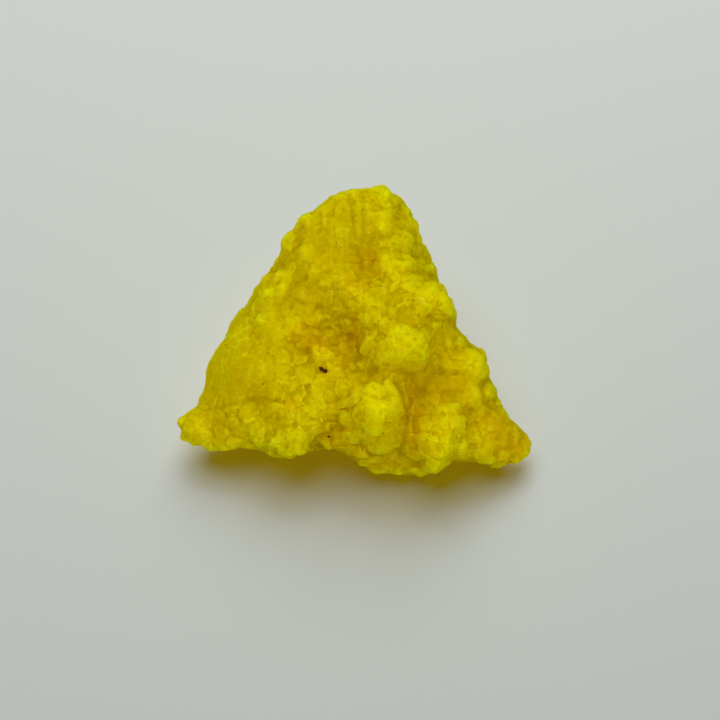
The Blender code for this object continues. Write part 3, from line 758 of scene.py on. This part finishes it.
def object_place(tree):
    """The position on the piece."""
    return add(tree, "ShaderNodeTexCoord", {})["Object"]


def grain_group():
    """A group that gives a cloudy mottle and a fine one from a position."""
    group, given, made = shader_group("mineral grain", "Cloud width", ("Cloud", "Fine"))
    place = object_place(group)
    for name, share in (("Cloud", 1.0), ("Fine", FINE_SHARE)):
        width = maths(group, "MULTIPLY", given["Cloud width"], share)
        mottle = noise(group, place, maths(group, "DIVIDE", 1.0, width), 4.0, 0.62)
        group.links.new(mottle["Fac"], made[name])
    return group


def crystal_group():
    """A group that parts a position into small uneven crystals: a tone for each, and their seams."""
    group, given, made = shader_group("small crystals", "Width", ("Tone", "Seam"))
    place = object_place(group)
    density = maths(group, "DIVIDE", 1.0, given["Width"])
    bend = vector_maths(group, "SUBTRACT", noise(group, place, density, 3.0)["Color"], (0.5, 0.5, 0.5))
    bend = vector_maths(group, "SCALE", bend, maths(group, "MULTIPLY", given["Width"], 1.1))
    cells = {"Vector": vector_maths(group, "ADD", place, bend), "Scale": density}
    tone = add(group, "ShaderNodeTexVoronoi", cells, feature="F1")["Color"]
    seam = add(group, "ShaderNodeTexVoronoi", cells, feature="DISTANCE_TO_EDGE")["Distance"]
    group.links.new(tone, made["Tone"])
    group.links.new(ramped(group, seam, 0.10, 0.0), made["Seam"])
    return group


def attribute(tree, name):
    """The number stored on a mesh under a name, for a material."""
    return add(tree, "ShaderNodeAttribute", {}, attribute_name=name)["Fac"]


def mixed(tree, share, first, second, blend="MIX"):
    """Two colours mixed."""
    colours = {0: share, 6: first, 7: second}
    return add(tree, "ShaderNodeMix", colours, data_type="RGBA", blend_type=blend)[2]


def tinted(tree, colour, tints, marks, shown, where=1.0):
    """A colour with tints laid over it, each by the mark it follows."""
    for name, low, high, least, most, colour_name in tints:
        share = maths(tree, "MULTIPLY", where, ramped(tree, marks[name], low, high, least, most))
        colour = mixed(tree, share, colour, shown[colour_name])
    return colour


def sulfur_colour(tree, grain, colours):
    """Yellow in the open, painted shade in the hollows and creases, painted highlights where it stands out,
    browner where stained.
    """
    shown = {name: getattr(colours, name)[:] for name in SulfurColours.__annotations__}
    marks = {name: attribute(tree, name) for name in ("pale", "hollow", "raised", "edge", "cracked")}
    drawn = drawn_out(tree, object_place(tree), (1.0, 0.08, 0.3))
    marks["Streaks"] = noise(tree, drawn, 1 / STREAK_WIDTH, 3.0)["Fac"]
    marks["Cloud"], marks["Fine"] = grain["Cloud"], grain["Fine"]
    colour = tinted(tree, shown["body"], BROAD_TINTS, marks, shown)
    parts = crystal_group()
    for width in CRYSTAL_WIDTHS:
        small = tree.nodes.new("ShaderNodeGroup")
        small.node_tree = parts
        small.inputs["Width"].default_value = width
        colour = tinted(tree, colour, CRYSTAL_TINTS, small.outputs, shown)
        colour = tinted(tree, colour, SEAM_TINTS, small.outputs, shown, small.outputs["Seam"])
    # Browner stain, and painted shade in the recesses.
    colour = tinted(tree, colour, STAIN_TINTS, marks, shown, attribute(tree, "rusty"))
    colour = tinted(tree, colour, STREAK_TINTS, marks, shown, attribute(tree, "streaked"))
    mottle = ramped(tree, marks["Fine"], *FINE_MOTTLE)
    mottle = add(tree, "ShaderNodeCombineColor", {0: mottle, 1: mottle, 2: mottle})[0]
    colour = mixed(tree, 1.0, colour, mottle, "MULTIPLY")
    return tinted(tree, colour, LINE_TINTS, marks, shown)


def glints(tree, grain):
    """Tiny facets that catch the light: a roughness for each and the normal they give."""
    place = object_place(tree)
    cells = add(tree, "ShaderNodeTexVoronoi", {"Vector": place, "Scale": 1 / GLINT_WIDTH})
    height = maths(tree, "MULTIPLY", cell_slope(tree, place, cells), 1 / MM)
    height = maths(tree, "ADD", height, maths(tree, "MULTIPLY", grain["Fine"], 0.25))
    bump = add(tree, "ShaderNodeBump", {"Distance": 0.5 * MM, "Strength": 0.28, "Height": height})
    return ramped(tree, cells["Color"], 0.2, 0.9, 0.28, 0.62), bump[0]


def sulfur_material(colours):
    """Waxy sulfur that light wanders through, with a thin gloss and a yellow shadow."""
    material = bpy.data.materials.new("native sulfur")
    material.use_nodes = True
    tree = material.node_tree
    group = tree.nodes.new("ShaderNodeGroup")
    group.node_tree = grain_group()
    group.inputs["Cloud width"].default_value = CLOUD_WIDTH
    grain = group.outputs
    roughness, normal = glints(tree, grain)
    surface = tree.nodes["Principled BSDF"]
    for name, value in (
        ("Base Color", sulfur_colour(tree, grain, colours)),
        ("Roughness", roughness),
        ("Normal", normal),
        ("IOR", 1.6),
        ("Specular IOR Level", 0.0),
        ("Specular Tint", (1.0, 0.86, 0.0, 1)),
        ("Subsurface Weight", 1.0),
        ("Subsurface Radius", (1.0, 0.62, 0.03)),
        ("Subsurface Scale", 8.0 * MM),
    ):
        feed(tree, surface.inputs[name], value)

    gloss = {"Color": colours.gloss[:], "Roughness": 0.28, "Normal": normal}
    gloss = add(tree, "ShaderNodeBsdfAnisotropic", gloss)[0]
    wax = add(tree, "ShaderNodeMixShader", {0: GLOSS_SHARE, 1: surface.outputs[0], 2: gloss})[0]
    shade = add(tree, "ShaderNodeBsdfTransparent", {"Color": colours.shade[:]})[0]
    shadow_ray = add(tree, "ShaderNodeLightPath", {})["Is Shadow Ray"]
    whole = add(tree, "ShaderNodeMixShader", {0: shadow_ray, 1: wax, 2: shade})[0]
    tree.links.new(whole, tree.nodes["Material Output"].inputs["Surface"])
    return material


def soften(mass, sizes):
    """Closes the narrow gaps of the mass and rounds its edges."""
    remesh(mass, sizes.soft_voxel)
    shift_out(mass, sizes.swollen)
    remesh(mass, sizes.soft_voxel)
    relax(mass, 1)
    shift_out(mass, -sizes.shrunk)
    remesh(mass, sizes.soft_voxel)
    relax(mass, 1)
    settle(mass)
    even_out(mass.data)
    fill_out(mass.data)


def grow_crust(mass, sizes, finish):
    """Swells the mass and grows small crystals all over it, as one skin."""
    crystal = bpy.data.objects.new("small_crystal", crystal_mesh())
    bpy.context.scene.collection.objects.link(crystal)
    mark_grounds(mass.data)
    set_tree(mass, swell_tree(), {"Height": sizes.swell_height, "Width": sizes.swell_width})
    growth = {
        "Crystal": crystal,
        "Spacing": sizes.spacing,
        "Least size": sizes.least,
        "Most size": sizes.most,
        "Sunk": sizes.sunk,
        "Seed": sizes.seed,
        "Material": finish,
    }
    set_tree(mass, crust_tree(), growth)
    remesh(mass, sizes.fine_voxel)
    settle(mass)
    bpy.data.objects.remove(crystal)


def break_facets(mass, sizes):
    """Breaks the skin into low facets and thins it out to the triangles it may have."""
    mark_grounds(mass.data)
    set_tree(mass, facet_tree(), {"Facet": sizes.facet, "Ridge": sizes.ridge, **FACETS})
    thin = mass.modifiers.new("thin out", "DECIMATE")
    thin.ratio = min(1.0, sizes.triangles / sum(len(face.vertices) - 2 for face in mass.data.polygons))
    settle(mass)


class OBJECT_OT_sulfur_mass(bpy.types.Operator):
    """Grows the crust of the mass over its solid"""

    bl_idname = "object.sulfur_mass"
    bl_label = "Sulfur mass"

    def execute(self, context):
        sizes = context.scene.sulfur_sizes
        bm = bmesh.new()
        bm.from_mesh(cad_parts[NODE].data)
        bmesh.ops.remove_doubles(bm, verts=bm.verts, dist=0.001 * MM)
        mass = bpy.data.objects.new("sulfur_mass", mesh_of(bm, "sulfur mass"))
        context.scene.collection.objects.link(mass)
        finish = sulfur_material(context.scene.sulfur_colours)

        soften(mass, sizes)
        grow_crust(mass, sizes, finish)
        lay_lumps(mass.data, 10 * sizes.seed)
        remesh(mass, sizes.fine_voxel)
        relax(mass, 3)
        settle(mass)
        break_facets(mass, sizes)
        carve_creases(mass.data)

        mass.data.materials.clear()
        mass.data.materials.append(finish)
        mass.data.shade_smooth()
        mass.data.set_sharp_from_angle(angle=math.radians(SHARP_ANGLE))
        mark_hollows(mass.data)
        mark_relief(mass.data)
        mark_colours(mass.data)
        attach(mass, "root")
        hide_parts(NODE)
        return {"FINISHED"}


def plain_material(name, colour, roughness, shine):
    """A plain finish of one colour."""
    material = bpy.data.materials.new(name)
    material.use_nodes = True
    surface = material.node_tree.nodes["Principled BSDF"]
    surface.inputs["Base Color"].default_value = colour
    surface.inputs["Roughness"].default_value = roughness
    surface.inputs["Specular IOR Level"].default_value = shine
    return material


def spot_on(tree, across, up):
    """Where the surface lies at a place on the face and which way it faces, if it is there."""
    return tree.ray_cast(from_face(across, up, RAY_START), -FACE_OUT)[:2]


def add_solid(bm, corners):
    """Adds the flat-faced solid that spans these corners."""
    piece = bmesh.new()
    for corner in corners:
        piece.verts.new(corner)
    hull = bmesh.ops.convex_hull(piece, input=piece.verts)
    loose = [part for part in hull["geom_interior"] if isinstance(part, bmesh.types.BMVert)]
    bmesh.ops.delete(piece, geom=loose, context="VERTS")
    bmesh.ops.recalc_face_normals(piece, faces=piece.faces)
    made = mesh_of(piece, "solid")
    bm.from_mesh(made)
    bpy.data.meshes.remove(made)


def sown(name, places, thickness, corners, seed, sway=0.4, proud=0.1):
    """Small flat-faced grains lying on the mass, each at its place with its size and turn."""
    tree = surface_of(bpy.data.objects["sulfur_mass"].data)
    bm = bmesh.new()
    for number, (across, up, half_width, half_height, turn) in enumerate(places):
        spot, normal = spot_on(tree, across, up)
        if spot is None:
            raise ValueError(f"no surface at {across}, {up}")
        draw = np.random.default_rng(seed + number)
        normal = (normal + FACE_OUT).normalized()
        along = FACE_TURN @ (Matrix.Rotation(math.radians(turn), 3, "Z") @ Vector((1, 0, 0)))
        along = (along - normal * along.dot(normal)).normalized()
        beside = normal.cross(along)
        depth = min(thickness, half_height)
        points = []
        for _, level, ring, angle in spiral(corners):
            angle += draw.uniform(-sway, sway)
            ring *= draw.uniform(0.8, 1.1)
            offset = along * (half_width * ring * math.cos(angle))
            offset += beside * (half_height * ring * math.sin(angle))
            points.append(spot + (offset + normal * (depth * (level + proud))) * MM)
        add_solid(bm, points)
    return bpy.data.objects.new(name, mesh_of(bm, name))


class OBJECT_OT_dark_grains(bpy.types.Operator):
    """Sets a few grains of bitumen into the crust"""

    bl_idname = "object.dark_grains"
    bl_label = "Dark grains"

    def execute(self, context):
        seed = context.scene.sulfur_sizes.seed
        grains = sown("dark_grains", DARK_GRAINS, thickness=0.24, corners=14, seed=seed)
        context.scene.collection.objects.link(grains)
        colour = context.scene.sulfur_colours.grain
        grains.data.materials.append(plain_material("bitumen", colour, roughness=0.6, shine=0.0))
        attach(grains, "root")
        return {"FINISHED"}


class OBJECT_OT_glint_blades(bpy.types.Operator):
    """Sets a few bright blades into the crust as painted glints"""

    bl_idname = "object.clear_blades"
    bl_label = "Clear blades"

    def execute(self, context):
        seed = context.scene.sulfur_sizes.seed + 50
        blades = sown("clear_blades", GLINT_BLADES, thickness=0.10, corners=12, seed=seed)
        context.scene.collection.objects.link(blades)
        colour = context.scene.sulfur_colours.blade
        # A bright colour with no shine of its own: a painted glint.
        blades.data.materials.append(plain_material("clear sulfur", colour, roughness=0.4, shine=0.0))
        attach(blades, "root")
        return {"FINISHED"}


def lay_lumps(mesh, seed, corners=13, share=0.38, lift=0.7, sway=0.5):
    """Adds the single crystals and lumps to a mesh, flat-faced and sunk in."""
    tree = surface_of(mesh)
    bm = bmesh.new()
    bm.from_mesh(mesh)
    for number, (across, up, half_width, half_height, turn, stand, _) in enumerate(LUMPS):
        spot = spot_on(tree, across, up)[0]
        if spot is None:
            continue
        depth = float(to_face([spot])[0][2])
        draw = np.random.default_rng(seed + number)
        thickness = share * (half_width + half_height)
        spin = Matrix.Rotation(math.radians(turn), 3, "Z")
        points = []
        for _, level, ring, angle in spiral(corners):
            angle += draw.uniform(-sway, sway)
            reach = draw.uniform(0.93, 1.07)
            ring *= reach
            corner = Vector((half_width * ring * math.cos(angle), half_height * ring * math.sin(angle), 0))
            corner = spin @ corner
            corner.z = thickness * level * reach + depth + lift * stand - thickness
            points.append(from_face(across + corner.x, up + corner.y, corner.z))
        add_solid(bm, points)
    bm.to_mesh(mesh)
    bm.free()


def lump_paleness(mesh, edge=1.25, fade=0.5):
    """How pale each point is for lying on a pale lump of the face."""
    face = to_face(points_of(mesh))
    pale = np.zeros(len(face))
    for across, up, half_width, half_height, turn, _, paleness in LUMPS:
        cos, sin = math.cos(math.radians(turn)), math.sin(math.radians(turn))
        along, beside = face[:, 0] - across, face[:, 1] - up
        apart = ((along * cos + beside * sin) / half_width) ** 2
        apart += ((beside * cos - along * sin) / half_height) ** 2
        pale = np.maximum(pale, paleness * np.clip((edge - apart) / fade, 0.0, 1.0))
    return pale * facing_share(face)


def crease_share(mesh):
    """How much each point lies in one of the cracks or streaks of the face."""
    face = to_face(points_of(mesh))
    share = np.zeros(len(face))
    for course, width, depth in CREASES:
        for start, end in zip(course, course[1:]):
            start, along = np.array(start), np.array(end) - np.array(start)
            part = np.clip((face[:, :2] - start) @ along / (along @ along), 0.0, 1.0)
            apart = np.linalg.norm(face[:, :2] - start - part[:, None] * along, axis=1)
            share = np.maximum(share, depth * np.exp(-((apart / width) ** 2)))
    return share * facing_share(face)


def move_points(mesh, points):
    """Puts a mesh's vertices at these positions."""
    mesh.vertices.foreach_set("co", points.astype(np.float32).ravel())
    mesh.update()


def carve_creases(mesh, deepest=0.20 * MM):
    """Presses the cracks and streaks into the surface."""
    sunk = points_of(mesh, "normal") * (crease_share(mesh) * deepest)[:, None]
    move_points(mesh, points_of(mesh) - sunk)


def even_out(mesh, fine_turns=60, broad_turns=140, fill_turns=220, normal_turns=30):
    """Wears the small knobs off the face, keeps its broad form and outline, and fills its hollows."""
    side_on, least_wear, more_wear, fill = 0.35, 0.10, 0.80, 0.8
    points = points_of(mesh)
    face = to_face(points)
    calm = spread(mesh, points, fine_turns)
    calm = calm + spread(mesh, points - calm, broad_turns)
    normals = spread(mesh, points_of(mesh, "normal"), normal_turns)
    frontal = np.abs(normals @ np.array(FACE_OUT))
    frontal = np.clip((frontal - side_on) / side_on, 0.0, 1.0)
    points += (calm - points) * (least_wear + more_wear * frontal)[:, None]
    ground = np.maximum(within(face, SMOOTH_GROUNDS), within(face, FILLED_GROUNDS))
    points += (spread(mesh, points, fill_turns) - points) * (fill * ground)[:, None]
    move_points(mesh, points)


def fill_out(mesh, thickness=0.16 * MM, lift=0.6 * MM, top_from=9.0, top_height=12.0):
    """Grows a thin coat over a surface, and more of it up the face at the top."""
    points = points_of(mesh)
    top = np.clip((to_face(points)[:, 1] - top_from) / top_height, 0.0, 1.0)
    points = points + points_of(mesh, "normal") * thickness + np.array(FACE_UP) * (top * top * lift)[:, None]
    points[:, 2] = np.maximum(points[:, 2], 0.0)
    move_points(mesh, points)


class OBJECT_OT_sulfur_stage(bpy.types.Operator):
    """Lays the table, hangs the soft lights and sets the camera"""

    bl_idname = "object.sulfur_stage"
    bl_label = "Stage"

    def execute(self, context):
        scene = context.scene
        bpy.ops.mesh.primitive_plane_add(size=TABLE_WIDTH)
        table = context.object
        table.name = "table"
        paint = plain_material("pale table", scene.sulfur_colours.table, roughness=0.7, shine=0.2)
        table.data.materials.append(paint)

        scene.world = bpy.data.worlds.new("studio")
        scene.world.use_nodes = True
        background = scene.world.node_tree.nodes["Background"]
        background.inputs["Color"].default_value = WORLD_COLOUR
        background.inputs["Strength"].default_value = WORLD_STRENGTH

        pieces = [bpy.data.objects[name] for name in ("sulfur_mass", "dark_grains", "clear_blades")]
        lit = {"sulfur": pieces, "table": [table]}
        for what, receivers in lit.items():
            lit[what] = bpy.data.collections.new(f"lit {what}")
            for receiver in receivers:
                lit[what].objects.link(receiver)
        for name, (place, width, power, what) in LAMPS.items():
            lamp = bpy.data.lights.new(name, "AREA")
            lamp.size = width
            lamp.energy = power
            lamp.color = LAMP_COLOUR
            light = bpy.data.objects.new(name, lamp)
            scene.collection.objects.link(light)
            light.location = place
            light.light_linking.receiver_collection = lit[what]
            light.rotation_euler = (-Vector(place)).to_track_quat("-Z", "Y").to_euler()

        lens = bpy.data.cameras.new("camera")
        camera = bpy.data.objects.new("camera", lens)
        scene.collection.objects.link(camera)
        camera.location = from_face(*CAMERA_AIM, 0.0) + FACE_OUT * CAMERA_DISTANCE * MM
        camera.rotation_euler = Euler((math.radians(FACE_LEAN), 0, 0))
        lens.angle = 2 * math.atan(FRAME_WIDTH / 2 / CAMERA_DISTANCE)
        lens.clip_start = 0.01
        scene.camera = camera
        scene.view_settings.view_transform = "Standard"
        return {"FINISHED"}


class VIEW3D_PT_sulfur(bpy.types.Panel):
    """Lists what makes the specimen"""

    bl_label = "Sulfur"
    bl_idname = "VIEW3D_PT_sulfur"
    bl_space_type = "VIEW_3D"
    bl_region_type = "UI"
    bl_category = "Sulfur"

    def draw(self, context):
        for group in (context.scene.sulfur_sizes, context.scene.sulfur_colours):
            box = self.layout.box()
            for name in type(group).__annotations__:
                box.prop(group, name)
        for operator in OPERATORS:
            self.layout.operator(operator.bl_idname)


OPERATORS = (OBJECT_OT_sulfur_mass, OBJECT_OT_dark_grains, OBJECT_OT_glint_blades, OBJECT_OT_sulfur_stage)
CLASSES = (SulfurSizes, SulfurColours, *OPERATORS, VIEW3D_PT_sulfur)


def register():
    for cls in CLASSES:
        bpy.utils.register_class(cls)
    bpy.types.Scene.sulfur_sizes = bpy.props.PointerProperty(type=SulfurSizes)
    bpy.types.Scene.sulfur_colours = bpy.props.PointerProperty(type=SulfurColours)


def unregister():
    del bpy.types.Scene.sulfur_colours
    del bpy.types.Scene.sulfur_sizes
    for cls in reversed(CLASSES):
        bpy.utils.unregister_class(cls)


def main():
    register()
    bpy.ops.object.sulfur_mass()
    bpy.ops.object.dark_grains()
    bpy.ops.object.clear_blades()
    bpy.ops.object.sulfur_stage()


if __name__ == "__main__":
    main()
